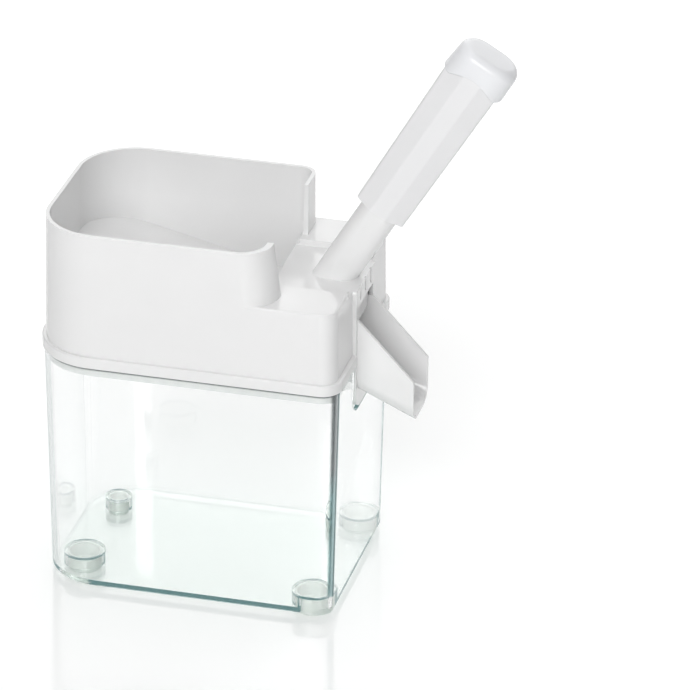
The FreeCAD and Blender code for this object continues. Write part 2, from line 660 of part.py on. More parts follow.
def make_bushes():
    """The spring stands on the lower bush; the upper one guides the rod and stops its collar."""
    bush("spring_seat", "-socket_depth", "seat_thickness", "pin_radius + pin_gap")
    bush("tube_cap", "tube_top - cap_thickness", "cap_thickness", "rod_radius + pin_gap")


def make_stripper():
    """Plate under the tube that holds the fruit back when the pin rises."""
    body = new_body("stripper")
    plate = centred(sketch(body, offset="-socket_depth"), "tube_width + tube_wall", "tube_depth + tube_wall",
                    "tube_depth * 0.49")
    pad(body, plate, "stripper_thickness", reverse=True)
    hole = circle(sketch(body, offset="-socket_depth"), "0", "0", "pin_radius + pin_gap")
    pocket(body, hole, "stripper_thickness")
    node(along_plunger(body))


def make_seal_holder():
    """Channel under the plunger: fruit rolls over its tongue, sits on the seal and rolls on to the outlet."""
    block = new_body("seal_channel")
    left = "holder_start"
    right = "holder_end"
    outer = polygon(sketch(block, "XZ"), [
        (left, seat_height(left, "holder_floor")), (right, seat_height(right, "holder_floor")),
        (right, BAY_UNDERSIDE), (left, BAY_UNDERSIDE)])
    pad(block, outer, "holder_half_width * 2", both=True)
    near = "holder_start - holder_floor"
    far = "holder_end + holder_floor"
    inner = polygon(sketch(block, "XZ"), [
        (near, seat_height(near)), (far, seat_height(far)), (far, DECK), (near, DECK)])
    pocket(block, inner, "(holder_half_width - holder_wall) * 2", both=True)
    sill = "hopper_sill"
    tongue = polygon(sketch(block, "XZ"), [
        (near, seat_height(near)), (sill, seat_height(sill)), (sill, DECK), (near, DECK)])
    pocket(block, tongue, "holder_half_width * 4", both=True)
    recess = axial_cylinder("seal_recess", "seal_radius", "-seal_depth - seal_thickness", "seal_depth / 2")
    hole = axial_cylinder("seal_passage", "seal_ledge", "-seal_depth * 1.5", "seal_depth")
    node(cut("seal_holder", block, recess, hole))


def make_seal():
    """Soft disc with a round hole and crossed slits, let into the channel's floor."""
    body = new_body("pit_seal")
    disc = sketch(body, offset="-seal_depth - seal_thickness")
    circle(disc, "0", "0", "seal_radius")
    circle(disc, "0", "0", "seal_hole")
    pad(body, disc, "seal_thickness")
    for width, depth in (("slit_length", "slit_width"), ("slit_width", "slit_length")):
        slit = centred(sketch(body, offset="-seal_depth"), width, depth, "slit_width * 0.4")
        pocket(body, slit, "seal_thickness")
    node(along_plunger(body))


def trough(name, side, half_width, radius):
    """A block with a side outline whose first two points bound its floor, with the floor's long edges round."""
    body = new_body(name)
    pad(body, polygon(sketch(body, "XZ"), side), "(%s) * 2" % half_width, both=True)
    high = number(side[0][1])
    low = number(side[1][1])

    def long_edge(edge):
        box = edge.BoundBox
        return abs(box.ZMax - high) < 0.01 and abs(box.ZMin - low) < 0.01 and box.YLength < 0.01

    round_edges(body, radius, long_edge)
    return body


def make_chute():
    """Open trough with a rounded floor, from the seal out through the end cover."""
    left = "holder_end"
    corner = COVER_OUTSIDE
    outside = trough("chute_outside", [
        (left, chute_height(left)), ("chute_end", "chute_low"), ("chute_end", "chute_end_top"),
        (corner, "chute_side_top"), (left, "chute_side_top")], "chute_half_width", "chute_round")
    near = "holder_end - chute_wall"
    past = "chute_end + chute_wall"
    over = "chute_side_top + chute_wall"
    inside = trough("chute_inside", [
        (near, chute_height(near, "chute_wall")), (past, chute_height(past, "chute_wall")),
        (past, over), (near, over)], "chute_half_width - chute_wall", "chute_round - chute_wall")
    node(cut("chute", outside, inside))


def make_end_cover():
    """Plate that closes the bay's outlet side and hangs into the container's notch."""
    body = new_body("end_cover")
    bottom = "%s + cover_gap" % NOTCH_BOTTOM
    plate = rounded(sketch(body, "YZ", COVER_INSIDE), "-cover_half_width", "cover_half_width", bottom, BAY_FLOOR,
                    ["cover_radius", "cover_radius", "flute_depth", "flute_depth"])
    pad(body, plate, "cover_thickness")
    count = 3
    for i in range(count):
        y = "flute_pitch * %s" % (i - (count - 1) / 2)
        flute = rounded(sketch(body, "YZ", COVER_OUTSIDE), y + " - flute_width / 2", y + " + flute_width / 2",
                        "mouth_top + flute_width", BAY_FLOOR + " + flute_width", ["flute_width * 0.45"] * 4)
        pocket(body, flute, "flute_depth")
    mouth = rounded(
        sketch(body, "YZ", COVER_INSIDE), "-chute_half_width", "chute_half_width",
        chute_height(COVER_OUTSIDE), "mouth_top",
        ["chute_round", "chute_round", "flute_width", "flute_width"])
    pocket(body, mouth, "cover_thickness * 4", both=True)
    node(body)


def grip_block(name):
    """The grip's outside: a flat oval with two creases on each broad side, growing upwards."""
    body = new_body(name)
    w = "sleeve_width / 2"
    d = "sleeve_depth / 2"
    front = [("-sleeve_crease", "-" + d), ("sleeve_crease", "-" + d), (w, "-sleeve_side"), (w, "sleeve_side")]
    back = [("sleeve_crease", d), ("-sleeve_crease", d), ("-" + w, "sleeve_side"), ("-" + w, "-sleeve_side")]
    outline = polygon(sketch(body, offset="sleeve_start"), front + back)
    pad(body, outline, "sleeve_end - sleeve_start", taper="sleeve_taper")
    start = number("sleeve_start")
    end = number("sleeve_end")

    def long_edge(edge):
        box = edge.BoundBox
        return abs(box.ZMin - start) < 0.01 and abs(box.ZMax - end) < 0.01

    round_edges(body, "sleeve_round", long_edge)
    return body


def make_sleeve():
    """Grip that slides over the guide tube, with a web across it near the top."""
    body = grip_block("grip_sleeve")
    bore = centred(sketch(body, offset="sleeve_start"), "tube_width + slide_gap * 2", "tube_depth + slide_gap * 2",
                   "tube_depth * 0.49 + slide_gap")
    pocket(body, bore, "web_height - sleeve_start", reverse=True)
    well = centred(sketch(body, offset="sleeve_end"), "tube_width", "tube_depth", "tube_depth * 0.49")
    pocket(body, well, "sleeve_end - web_height - web_thickness")
    pocket(body, circle(sketch(body, offset="sleeve_end"), "0", "0", "screw_radius"), "sleeve_end - web_height")
    node(along_plunger(body))


def make_knob():
    """Oval push button over the grip's end, its lower edge arched at the front and the back."""
    body = new_body("knob_block")
    outline = centred(sketch(body, offset="knob_start"), "knob_width", "knob_depth", "knob_depth * 0.48")
    pad(body, outline, "knob_end - knob_start", taper="-knob_taper")
    round_edges(body, "knob_round", at_height(number("knob_end")))
    arch_radius = "((knob_width * 0.4)^2 + knob_arch^2) / (2 * knob_arch)"
    arch = circle(sketch(body, "XZ"), "0", "knob_start + knob_arch - %s" % arch_radius, arch_radius)
    pocket(body, arch, "knob_depth * 2", both=True)
    node(along_plunger(cut("press_knob", body, grip_block("knob_well"))))


def make_rod():
    """Steel rod from the grip's web down to the pin, with a thin end inside the pin."""
    body = new_body("plunger_rod")
    start = "-pin_tip + pin_length"
    shaft = circle(sketch(body, offset=start), "0", "0", "rod_radius")
    pad(body, shaft, "web_height + pin_tip - pin_length")
    spigot = circle(sketch(body, offset=start), "0", "0", "rod_spigot")
    pad(body, spigot, "spigot_length", reverse=True)
    pilot = circle(sketch(body, offset="web_height"), "0", "0", "screw_radius")
    pocket(body, pilot, "screw_length - web_thickness")
    node(along_plunger(body))


def make_pin():
    """Stoning pin with a crossed, four-pronged tip."""
    body = new_body("stoning_pin")
    pad(body, circle(sketch(body, offset="-pin_tip"), "0", "0", "pin_radius"), "pin_length")
    top = sketch(body, offset="-pin_tip + pin_length")
    pocket(body, circle(top, "0", "0", "rod_spigot"), "spigot_length")
    for width, depth in (("pin_radius * 3", "pin_slot"), ("pin_slot", "pin_radius * 3")):
        slot = centred(sketch(body, offset="-pin_tip"), width, depth, "pin_slot * 0.1")
        pocket(body, slot, "pin_slot_depth", reverse=True)
    node(along_plunger(body))


COLLAR_BOTTOM = "(tube_top - cap_thickness - stop_gap - collar_thickness)"


def make_spring():
    """Return spring's outer shape, between the lower bush and the collar."""
    body = new_body("return_spring")
    ring = sketch(body, offset="-socket_depth + seat_thickness")
    circle(ring, "0", "0", "spring_radius")
    circle(ring, "0", "0", "spring_radius - spring_wire")
    pad(body, ring, COLLAR_BOTTOM + " + socket_depth - seat_thickness")
    node(along_plunger(body))


def make_collar():
    """Ring on the rod: the spring pushes it up against the tube's upper bush."""
    body = new_body("spring_collar")
    ring = sketch(body, offset=COLLAR_BOTTOM)
    circle(ring, "0", "0", "spring_radius")
    circle(ring, "0", "0", "rod_radius")
    pad(body, ring, "collar_thickness")
    node(along_plunger(body))


def make_screw(name, place=None):
    """Pan-head screw with a cross recess, standing on its head at the origin of its own frame."""
    body = new_body(name)
    pad(body, circle(sketch(body), "0", "0", "screw_radius"), "screw_length")
    head = circle(sketch(body), "0", "0", "screw_head")
    pad(body, head, "screw_head_height", reverse=True)
    for width, depth in (("screw_recess * 2", "screw_recess / 2"), ("screw_recess / 2", "screw_recess * 2")):
        recess = centred(sketch(body, offset="-screw_head_height"), width, depth, "screw_recess / 8")
        pocket(body, recess, "screw_head_height / 2", reverse=True)
    if place:
        drive(body, Placement__Base__x=place[0], Placement__Base__y=place[1], Placement__Base__z=RIM)
    node(body)
    return body


def make_screws():
    """Four screws hold the frame to the housing, and one holds the grip on the rod."""
    for i, (side, row) in enumerate(SCREWS):
        make_screw("frame_screw_%d" % (i + 1), screw_place(side, row))
    screw = make_screw("cap_screw")
    screw.Placement = Placement(Vector(), Rotation(Vector(0, 1, 0), 180 + number("plunger_tilt")))
    top = "(web_height + web_thickness)"
    drive(
        screw,
        Placement__Rotation__Angle="180 + plunger_tilt",
        Placement__Base__x="plunger_foot + %s * sin(plunger_tilt)" % top,
        Placement__Base__z="%s + %s * cos(plunger_tilt)" % (BAY_FLOOR, top),
    )


def centre_on_origin():
    """Move every sub-part so that the origin lies under the middle of the whole object."""
    whole = FreeCAD.BoundBox()
    for thing in NODES:
        whole.add(thing.Shape.optimalBoundingBox(False))
    shift = -(whole.XMin + whole.XMax) / 2
    print("container's centre line at X = %.3f" % shift)
    return Vector(shift, -(whole.YMin + whole.YMax) / 2, -whole.ZMin)


def check_features():
    """Stop if an object failed, a sub-part is broken, a pad added nothing or a pocket cut nothing."""
    for thing in doc.Objects:
        if "Invalid" in thing.State or "Error" in thing.State:
            raise RuntimeError("failed object: " + thing.Label)
        if thing.isDerivedFrom("PartDesign::Body"):
            volume = 0.0
            for item in thing.Group:
                if not item.isDerivedFrom("PartDesign::Feature"):
                    continue
                change = item.Shape.Volume - volume
                volume = item.Shape.Volume
                cuts = "Pocket" in item.TypeId or "Subtractive" in item.TypeId
                adds = "Pad" in item.TypeId or "Additive" in item.TypeId
                if (cuts and change > -0.01) or (adds and change < 0.01):
                    raise RuntimeError("feature without effect: " + item.Name)
    for thing in NODES:
        shape = thing.Shape
        if shape.isNull() or not shape.isValid() or len(shape.Solids) != 1:
            raise RuntimeError("broken sub-part: %s, %d solids" % (thing.Label, len(shape.Solids)))


make_container()
make_feet()
make_lid_frame()
make_housing()
make_tray()
make_plunger_base()
make_guide_tube()
make_bushes()
make_stripper()
make_seal_holder()
make_seal()
make_chute()
make_end_cover()
make_sleeve()
make_knob()
make_rod()
make_pin()
make_spring()
make_collar()
make_screws()
doc.recompute()
check_features()

os.makedirs("parts", exist_ok=True)
move = centre_on_origin()
for thing in NODES:
    shape = thing.Shape.copy()
    shape.translate(move)
    shape.exportStep("parts/%s.step" % thing.Label)
print("%d sub-parts" % len(NODES))
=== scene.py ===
import math

import bmesh
import bpy
from mathutils import Matrix, Vector


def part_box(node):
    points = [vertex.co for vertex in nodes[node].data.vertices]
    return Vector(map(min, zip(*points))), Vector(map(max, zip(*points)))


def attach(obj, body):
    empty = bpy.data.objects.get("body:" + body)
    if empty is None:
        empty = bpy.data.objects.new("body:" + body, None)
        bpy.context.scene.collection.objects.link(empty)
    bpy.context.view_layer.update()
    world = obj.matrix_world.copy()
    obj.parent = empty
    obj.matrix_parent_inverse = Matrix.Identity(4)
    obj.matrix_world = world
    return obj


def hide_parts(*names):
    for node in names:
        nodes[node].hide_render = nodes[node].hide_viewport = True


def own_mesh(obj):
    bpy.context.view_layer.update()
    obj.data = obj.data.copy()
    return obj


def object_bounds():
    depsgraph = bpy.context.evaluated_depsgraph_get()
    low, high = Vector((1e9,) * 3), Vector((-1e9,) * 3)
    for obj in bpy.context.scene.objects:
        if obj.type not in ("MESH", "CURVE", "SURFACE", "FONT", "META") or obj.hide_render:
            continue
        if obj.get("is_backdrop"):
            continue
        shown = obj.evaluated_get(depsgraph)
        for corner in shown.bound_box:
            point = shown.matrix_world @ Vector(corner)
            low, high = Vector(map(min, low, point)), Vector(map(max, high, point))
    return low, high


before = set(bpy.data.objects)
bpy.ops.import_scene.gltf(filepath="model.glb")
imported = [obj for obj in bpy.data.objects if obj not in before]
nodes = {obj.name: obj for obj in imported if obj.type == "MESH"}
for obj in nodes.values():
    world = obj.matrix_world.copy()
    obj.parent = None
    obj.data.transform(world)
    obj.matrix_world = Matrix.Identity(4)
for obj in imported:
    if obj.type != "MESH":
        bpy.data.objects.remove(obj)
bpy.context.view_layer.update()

# Camera
# A long lens, a little above the object and to its right, as the photograph was taken.
# Its place and turn come from the edges of the flange, the deck and the clear box.
azimuth, elevation, roll = math.radians(14.17), math.radians(26.17), math.radians(0.56)
camera_place = Vector((0.632558, -2.376491, 1.332364))
back = Vector((math.sin(azimuth) * math.cos(elevation),
               -math.cos(azimuth) * math.cos(elevation),
               math.sin(elevation)))
level = Vector((math.cos(azimuth), math.sin(azimuth), 0.0))
upright = back.cross(level)
right = level * math.cos(roll) + upright * math.sin(roll)
up = upright * math.cos(roll) - level * math.sin(roll)
lens = bpy.data.cameras.new("camera")
lens.sensor_width = 36.0
lens.lens = 284.39
lens.clip_start = 0.2
lens.clip_end = 30.0
camera = bpy.data.objects.new("camera", lens)
bpy.context.collection.objects.link(camera)
camera.matrix_world = Matrix.Translation(camera_place) @ Matrix((right, up, back)).transposed().to_4x4()
bpy.context.scene.camera = camera
bpy.context.scene.view_settings.view_transform = "Standard"


# Table and light
# A white sweep with a faint gloss, a softbox above the camera, a larger one behind and a weak one on top.
# The world is white where it is seen or mirrored, and greyer at both sides to draw the clear box's edges.
MM = 0.001
WHITE = "#FFFFFF"


def colour(code):
    """An sRGB hex colour as linear light."""
    parts = [int(code[i:i + 2], 16) / 255 for i in (1, 3, 5)]
    return tuple(c / 12.92 if c <= 0.04045 else ((c + 0.055) / 1.055) ** 2.4 for c in parts) + (1.0,)


def add(tree, kind, values=None, links=None, **settings):
    """Add a node with its settings, the values of its inputs and what feeds them."""
    made = tree.nodes.new(kind)
    for key, value in settings.items():
        setattr(made, key, value)
    for key, value in (values or {}).items():
        made.inputs[key].default_value = value
    for key, source in (links or {}).items():
        tree.links.new(source, made.inputs[key])
    return made


def ray_is(tree, first, *others):
    """1 where the light path is of one of the kinds named, such as one that the camera sees."""
    path = add(tree, "ShaderNodeLightPath")
    found = path.outputs[first]
    for kind in others:
        found = add(tree, "ShaderNodeMath", links={0: found, 1: path.outputs[kind]},
                    operation="MAXIMUM").outputs[0]
    return found


def empty_material(name):
    """A material with no nodes yet."""
    made = bpy.data.materials.new(name)
    made.use_nodes = True
    made.node_tree.nodes.clear()
    return made


world = bpy.data.worlds.new("studio")
world.use_nodes = True
bpy.context.scene.world = world
sky = world.node_tree
sky.nodes.clear()
direction = add(sky, "ShaderNodeTexCoord")
sideways = add(sky, "ShaderNodeSeparateXYZ", links={0: direction.outputs["Generated"]})
sideways = add(sky, "ShaderNodeMath", links={0: sideways.outputs["X"]}, operation="ABSOLUTE")
panels = add(sky, "ShaderNodeMapRange", {"From Min": 0.6, "From Max": 0.9, "To Min": 1.0, "To Max": 0.5},
             {"Value": sideways.outputs[0]})
white_wall = add(sky, "ShaderNodeBackground", {"Color": colour(WHITE)}, {"Strength": panels.outputs[0]})
daylight = add(sky, "ShaderNodeBackground", {"Color": colour(WHITE), "Strength": 0.25})
studio = add(sky, "ShaderNodeMixShader",
             links={0: ray_is(sky, "Is Camera Ray", "Is Transmission Ray", "Is Glossy Ray"),
                    1: daylight.outputs[0], 2: white_wall.outputs[0]})
add(sky, "ShaderNodeOutputWorld", links={0: studio.outputs[0]})

# The back softbox is as bright as the white world around it, so its mirror image has no edge on the table.
aim = Vector((0.0, 0.0, 0.12))
for name, place, size, power in (
    ("softbox_front", Vector((0.1, -2.1, 1.35)), 1.3, 33.0),
    ("softbox_back", Vector((0.0, 2.0, 1.6)), 2.6, 21.2),
    ("softbox_top", Vector((0.0, 0.0, 2.4)), 1.4, 8.0),
):
    lamp = bpy.data.lights.new(name, "AREA")
    lamp.shape = "SQUARE"
    lamp.size = size
    lamp.energy = power
    holder = bpy.data.objects.new(name, lamp)
    bpy.context.collection.objects.link(holder)
    holder.location = place
    holder.rotation_euler = (aim - place).to_track_quat("-Z", "Y").to_euler()

# Lacquered board: it mirrors the object faintly, and its grain, about a millimetre, blurs that a little.
# Where it is seen it glows more the farther it is from the object, so it fades to white past the shadow.
white_sweep = empty_material("white_sweep")
tree = white_sweep.node_tree
grain_size = 1.11 * MM
fade_start, fade_end = 0.15, 0.7
place = add(tree, "ShaderNodeTexCoord")
grain = add(tree, "ShaderNodeTexNoise", {"Scale": 1 / grain_size, "Detail": 2.0},
            {"Vector": place.outputs["Object"]})
wave = add(tree, "ShaderNodeBump", {"Strength": 0.02, "Distance": 0.2 * MM}, {"Height": grain.outputs["Fac"]})
lacquer = add(tree, "ShaderNodeBsdfPrincipled", {"Base Color": colour(WHITE), "Roughness": 0.12, "IOR": 1.5},
              {"Normal": wave.outputs[0]})
away = add(tree, "ShaderNodeVectorMath", {1: (0.0, 0.0, 0.0)}, {0: place.outputs["Object"]},
           operation="DISTANCE")
lift = add(tree, "ShaderNodeMapRange",
           {"From Min": fade_start, "From Max": fade_end, "To Min": 0.14, "To Max": 0.34},
           {"Value": away.outputs["Value"]})
seen = ray_is(tree, "Is Camera Ray", "Is Transmission Ray", "Is Glossy Ray")
lift = add(tree, "ShaderNodeMath", links={0: seen, 1: lift.outputs[0]}, operation="MULTIPLY")
glow = add(tree, "ShaderNodeEmission", {"Color": colour(WHITE)}, {"Strength": lift.outputs[0]})
board = add(tree, "ShaderNodeAddShader", links={0: lacquer.outputs[0], 1: glow.outputs[0]})
add(tree, "ShaderNodeOutputMaterial", links={0: board.outputs[0]})

sheet = bmesh.new()
bmesh.ops.create_grid(sheet, x_segments=1, y_segments=1, size=8.0)
table_mesh = bpy.data.meshes.new("table_top")
sheet.to_mesh(table_mesh)
sheet.free()
table_mesh.materials.append(white_sweep)
table_top = bpy.data.objects.new("table_top", table_mesh)
bpy.context.collection.objects.link(table_top)
table_top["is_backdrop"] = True


# Clear box
# An open box of clear SAN with drafted walls about 2 mm thick, injection-moulded in one piece.
# Its four pockets take the feet, and the notch in its right wall lets the outlet through.
def dress(name, material):
    """Give a CAD node its material."""
    data = nodes[name].data
    data.materials.clear()
    data.materials.append(material)


# Clear SAN from a polished mould: glassy, with ripples about 22 mm apart where the melt flowed, which bend
# what is mirrored in the walls. Seen along a wall, at the tight right corners and on the cut of the brim it
# is tinted a dark bluish green. The green is the colour of the light passing through far more of it there.
# The darkness is painted shade, for the dark lines its edges show and the shade under the flange. Near the
# head this painted tint turns grey. Faces that look straight up or down are tinted greyer, painted shade that
# dims the softbox mirrored in them.
clear_san = empty_material("clear_san")
tree = clear_san.node_tree
ripple_size = 22.2 * MM
right_of = 30.0 * MM
pocket_top = 11.5 * MM
brim_level = 125.4 * MM
grey_from, grey_to = 68.0 * MM, 84.0 * MM
place = add(tree, "ShaderNodeTexCoord")
ripple = add(tree, "ShaderNodeTexNoise", {"Scale": 1 / ripple_size, "Detail": 1.0},
             {"Vector": place.outputs["Object"]})
flow = add(tree, "ShaderNodeBump", {"Strength": 0.03, "Distance": 1.0 * MM},
           {"Height": ripple.outputs["Fac"]})
where = add(tree, "ShaderNodeSeparateXYZ", links={0: place.outputs["Object"]})
normal = add(tree, "ShaderNodeSeparateXYZ", links={0: place.outputs["Normal"]})

# Glass seen along its wall: tinted bluish green for the length of its path, and darker as painted shade.
facing = add(tree, "ShaderNodeLayerWeight", {"Blend": 0.5}, {"Normal": flow.outputs[0]})
rim = add(tree, "ShaderNodeMapRange", {"From Min": 0.82, "From Max": 0.95},
          {"Value": facing.outputs["Facing"]})

# The tight right corners above the pockets, found by facing and place: a painted dark line.
sideways = add(tree, "ShaderNodeMath", links={0: normal.outputs["X"]}, operation="ABSOLUTE")
sideways = add(tree, "ShaderNodeMapRange", {"From Min": 0.72, "From Max": 0.84},
               {"Value": sideways.outputs[0]})
forward = add(tree, "ShaderNodeMath", links={0: normal.outputs["Y"]}, operation="ABSOLUTE")
forward = add(tree, "ShaderNodeMapRange", {"From Min": 0.05, "From Max": 0.2}, {"Value": forward.outputs[0]})
corner = add(tree, "ShaderNodeMath", links={0: sideways.outputs[0], 1: forward.outputs[0]},
             operation="MULTIPLY")
for axis_name, start in (("X", right_of), ("Z", pocket_top)):
    past = add(tree, "ShaderNodeMapRange", {"From Min": start, "From Max": start + 1.0 * MM},
               {"Value": where.outputs[axis_name]})
    corner = add(tree, "ShaderNodeMath", links={0: corner.outputs[0], 1: past.outputs[0]},
                 operation="MULTIPLY")

# The cut of the brim just under the flange: painted shade, the flange's shadow.
brim = add(tree, "ShaderNodeMapRange", {"From Min": brim_level, "From Max": brim_level + 0.6 * MM},
           {"Value": where.outputs["Z"]})
thick_and_shaded = add(tree, "ShaderNodeMath", links={0: corner.outputs[0], 1: rim.outputs[0]}, operation="MAXIMUM")
thick_and_shaded = add(tree, "ShaderNodeMath", links={0: thick_and_shaded.outputs[0], 1: brim.outputs[0]}, operation="MAXIMUM")

# Faces that look straight up or down are tinted greyer: painted shade that dims the mirrored softbox.
flat_shade = add(tree, "ShaderNodeMath", links={0: normal.outputs["Z"]}, operation="ABSOLUTE")
flat_shade = add(tree, "ShaderNodeMapRange", {"From Min": 0.9, "From Max": 0.98, "To Max": 0.5},
           {"Value": flat_shade.outputs[0]})
# Towards the head the dark edge tint turns grey: painted shade.
head_shade = add(tree, "ShaderNodeMapRange", {"From Min": grey_from, "From Max": grey_to},
             {"Value": where.outputs["Z"]})
teal_and_shade = add(tree, "ShaderNodeMix", {"A": colour("#64898B"), "B": colour("#5E6466")},
           {"Factor": head_shade.outputs[0]},
           data_type="RGBA")
tint = add(tree, "ShaderNodeMix", {"A": colour(WHITE), "B": colour("#E0E5E2")}, {"Factor": flat_shade.outputs[0]},
           data_type="RGBA")
tint = add(tree, "ShaderNodeMix", data_type="RGBA",
           links={"Factor": thick_and_shaded.outputs[0], "A": tint.outputs["Result"], "B": teal_and_shade.outputs["Result"]})
skin = add(tree, "ShaderNodeBsdfPrincipled", {"Roughness": 0.0, "IOR": 1.57, "Transmission Weight": 1.0},
           {"Base Color": tint.outputs["Result"], "Normal": flow.outputs[0]})

# A ray that has bounced inside a wall more often than this ends in a teal glow: painted light, standing in
# for the colour of a thick edge of glass.
most_bounces = 2.5
path = add(tree, "ShaderNodeLightPath")
trapped = add(tree, "ShaderNodeMath", {1: most_bounces}, {0: path.outputs["Glossy Depth"]},
              operation="GREATER_THAN")
teal_glow = add(tree, "ShaderNodeEmission", {"Color": colour("#618586"), "Strength": 1.0})
skin = add(tree, "ShaderNodeMixShader", links={0: trapped.outputs[0], 1: skin.outputs[0], 2: teal_glow.outputs[0]})
passing = add(tree, "ShaderNodeBsdfTransparent", {"Color": colour("#FAFCFB")})
glass = add(tree, "ShaderNodeMixShader",
            links={0: ray_is(tree, "Is Shadow Ray", "Is Diffuse Ray"), 1: skin.outputs[0],
                   2: passing.outputs[0]})
depth = add(tree, "ShaderNodeVolumeAbsorption", {"Color": colour("#00B3AA"), "Density": 3.0})
add(tree, "ShaderNodeOutputMaterial", links={"Surface": glass.outputs[0], "Volume": depth.outputs[0]})
dress("pit_container", clear_san)


# Feet
# Four soft cups of milky TPE, each moulded in one piece and pushed into its pocket under the box.
# A cup is open at the top, and stands on a shallow ring round a slightly hollow underside.
def piece(name, mesh, material, smooth=40.0):
    """Close a bmesh into an object at the origin, smooth except where faces meet sharply."""
    bmesh.ops.recalc_face_normals(mesh, faces=mesh.faces)
    data = bpy.data.meshes.new(name)
    mesh.to_mesh(data)
    mesh.free()
    data.materials.append(material)
    data.shade_smooth()
    data.set_sharp_from_angle(angle=math.radians(smooth))
    made = bpy.data.objects.new(name, data)
    bpy.context.collection.objects.link(made)
    return made


def turned(profile, place, steps=48):
    """Turn a profile of (radius, height) points about the upright axis at a place."""
    mesh = bmesh.new()
    points = [mesh.verts.new((place[0] + r, place[1], place[2] + z)) for r, z in profile]
    line = [mesh.edges.new(pair) for pair in zip(points, points[1:])]
    bmesh.ops.spin(mesh, geom=points + line, cent=place, axis=(0.0, 0.0, 1.0), angle=math.tau, steps=steps,
                   use_merge=True)
    bmesh.ops.remove_doubles(mesh, verts=mesh.verts, dist=0.01 * MM)
    return mesh


# Soft TPE from a blasted mould: frosted and half clear, with a mottle of about 4.5 mm in its milkiness.
# Lamps reach it through the box, so it looks lit from inside.
milky_tpe = empty_material("milky_tpe")
tree = milky_tpe.node_tree
mottle_size = 4.55 * MM
place = add(tree, "ShaderNodeTexCoord")
mottle = add(tree, "ShaderNodeTexNoise", {"Scale": 1 / mottle_size, "Detail": 3.0},
             {"Vector": place.outputs["Object"]})
tint = add(tree, "ShaderNodeMix", {"A": colour("#F2F7F3"), "B": colour("#FDFEFD")},
           {"Factor": mottle.outputs["Fac"]},
           data_type="RGBA")
frost = add(tree, "ShaderNodeMapRange", {"To Min": 0.3, "To Max": 0.45}, {"Value": mottle.outputs["Fac"]})
rubber = add(tree, "ShaderNodeBsdfPrincipled", {"IOR": 1.48, "Transmission Weight": 0.45},
             {"Base Color": tint.outputs["Result"], "Roughness": frost.outputs[0]})
passing = add(tree, "ShaderNodeBsdfTransparent", {"Color": colour("#F4F7F4")})
rubber = add(tree, "ShaderNodeMixShader",
             links={0: ray_is(tree, "Is Shadow Ray", "Is Diffuse Ray"), 1: rubber.outputs[0],
                    2: passing.outputs[0]})
add(tree, "ShaderNodeOutputMaterial", links={0: rubber.outputs[0]})

foot_clearance = 0.15 * MM
foot_wall, foot_draft, foot_floor, foot_fillet = 1.5 * MM, 0.2 * MM, 2.7 * MM, 0.5 * MM
foot_ring, ring_slope, foot_hollow = 2.2 * MM, 0.4 * MM, 0.5 * MM
foot_chamfer, foot_lip = 0.7 * MM, 0.3 * MM
for name in ("foot_front_left", "foot_rear_left", "foot_front_right", "foot_rear_right"):
    low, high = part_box(name)
    radius = (high[0] - low[0]) / 2 - foot_clearance
    top = high[2] - foot_clearance
    inside = radius - foot_wall
    underside = ((0.0, foot_hollow), (radius - foot_ring - ring_slope, foot_hollow),
                 (radius - foot_ring, 0.0),
                 (radius - foot_chamfer, 0.0), (radius, foot_chamfer))
    lip = ((radius, top - foot_lip), (radius - foot_lip, top), (inside + foot_lip, top),
           (inside, top - foot_lip))
    hollow = ((inside - foot_draft, foot_floor + foot_fillet),
              (inside - foot_draft - foot_fillet, foot_floor),
              (0.0, foot_floor))
    cup = turned(underside + lip + hollow, ((low[0] + high[0]) / 2, (low[1] + high[1]) / 2, 0.0))
    foot = piece("cup_" + name, cup, milky_tpe)
    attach(foot, "container")
    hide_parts(name)


# White mouldings
# The frame, the housing, the tray, the outlet and the cover, with the tube and the small parts round it.
# Each is injection-moulded in one piece from white ABS, and they are screwed or pushed together.
def moulding(name, light, dark, roughness, peel):
    """Moulded plastic: its pigment clouds a little, and the mould leaves gloss and orange peel.

    A blasted mould's grain, about 0.1 mm, is too fine to show, so it is drawn as coarse as orange peel.
    """
    cloud_size, peel_size = 28.6 * MM, 1.43 * MM
    glow_depth = 2.0 * MM
    made = empty_material(name)
    tree = made.node_tree
    place = add(tree, "ShaderNodeTexCoord")
    cloud = add(tree, "ShaderNodeTexNoise", {"Scale": 1 / cloud_size, "Detail": 2.0},
                {"Vector": place.outputs["Object"]})
    skin = add(tree, "ShaderNodeTexNoise", {"Scale": 1 / peel_size, "Detail": 2.0},
               {"Vector": place.outputs["Object"]})
    tint = add(tree, "ShaderNodeMix", {"A": colour(light), "B": colour(dark)},
               {"Factor": cloud.outputs["Fac"]},
               data_type="RGBA")
    gloss = add(tree, "ShaderNodeMapRange", {"To Min": roughness - 0.05, "To Max": roughness + 0.05},
                {"Value": cloud.outputs["Fac"]})
    bump = add(tree, "ShaderNodeBump", {"Strength": peel, "Distance": 0.3 * MM},
               {"Height": skin.outputs["Fac"]})
    plastic = add(tree, "ShaderNodeBsdfPrincipled",
                  {"IOR": 1.52, "Subsurface Weight": 0.1,
                   "Subsurface Radius": (glow_depth, glow_depth, glow_depth)},
                  {"Base Color": tint.outputs["Result"], "Roughness": gloss.outputs[0],
                   "Normal": bump.outputs[0]})
    add(tree, "ShaderNodeOutputMaterial", links={0: plastic.outputs[0]})
    return made


# ABS from a polished mould: bright neutral white, and glossy enough to mirror the edges of its neighbours.
white_abs = moulding("white_abs", "#EFEFEF", "#EAEAEA", 0.11, 0.03)
for name in ("lid_frame", "hopper_housing", "hopper_tray", "plunger_base", "seal_holder", "chute",
             "end_cover",
             "guide_tube", "stripper", "spring_seat", "tube_cap"):
    dress(name, white_abs)


